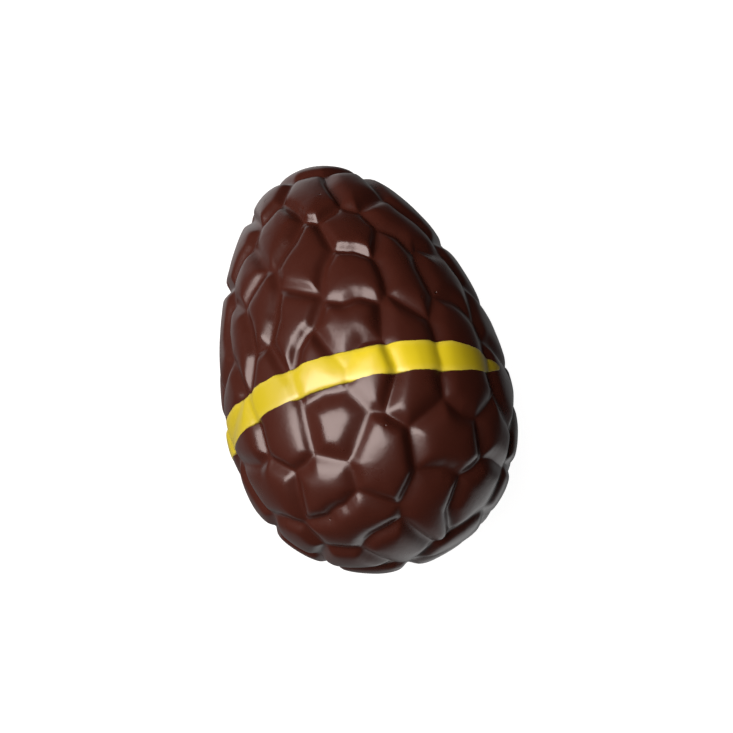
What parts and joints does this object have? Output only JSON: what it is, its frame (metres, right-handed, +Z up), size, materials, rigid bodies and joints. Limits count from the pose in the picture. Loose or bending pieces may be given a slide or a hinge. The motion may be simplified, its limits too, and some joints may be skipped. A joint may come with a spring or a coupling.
{
  "type": "chocolate egg",
  "caption": "Small solid dark chocolate egg lying on its side, its surface moulded into irregular raised cells parted by grooves, with a yellow stripe round its middle",
  "frame": {"origin": "centre of the bottom of the bounding box, level with the small flat the egg rests on", "axes": "+Y from the blunt end towards the narrow end, +Z up, +X to the right when looking from the blunt end; the narrow end dips 8.4 degrees"},
  "size_m": [0.024, 0.0352, 0.0241],
  "materials": {
    "dark_chocolate": "glossy moulded dark chocolate",
    "yellow_stripe": "thin painted stripe of yellow coloured cocoa butter"
  },
  "bodies": {
    "root": {"egg": "dark_chocolate"}
  },
  "joints": []
}
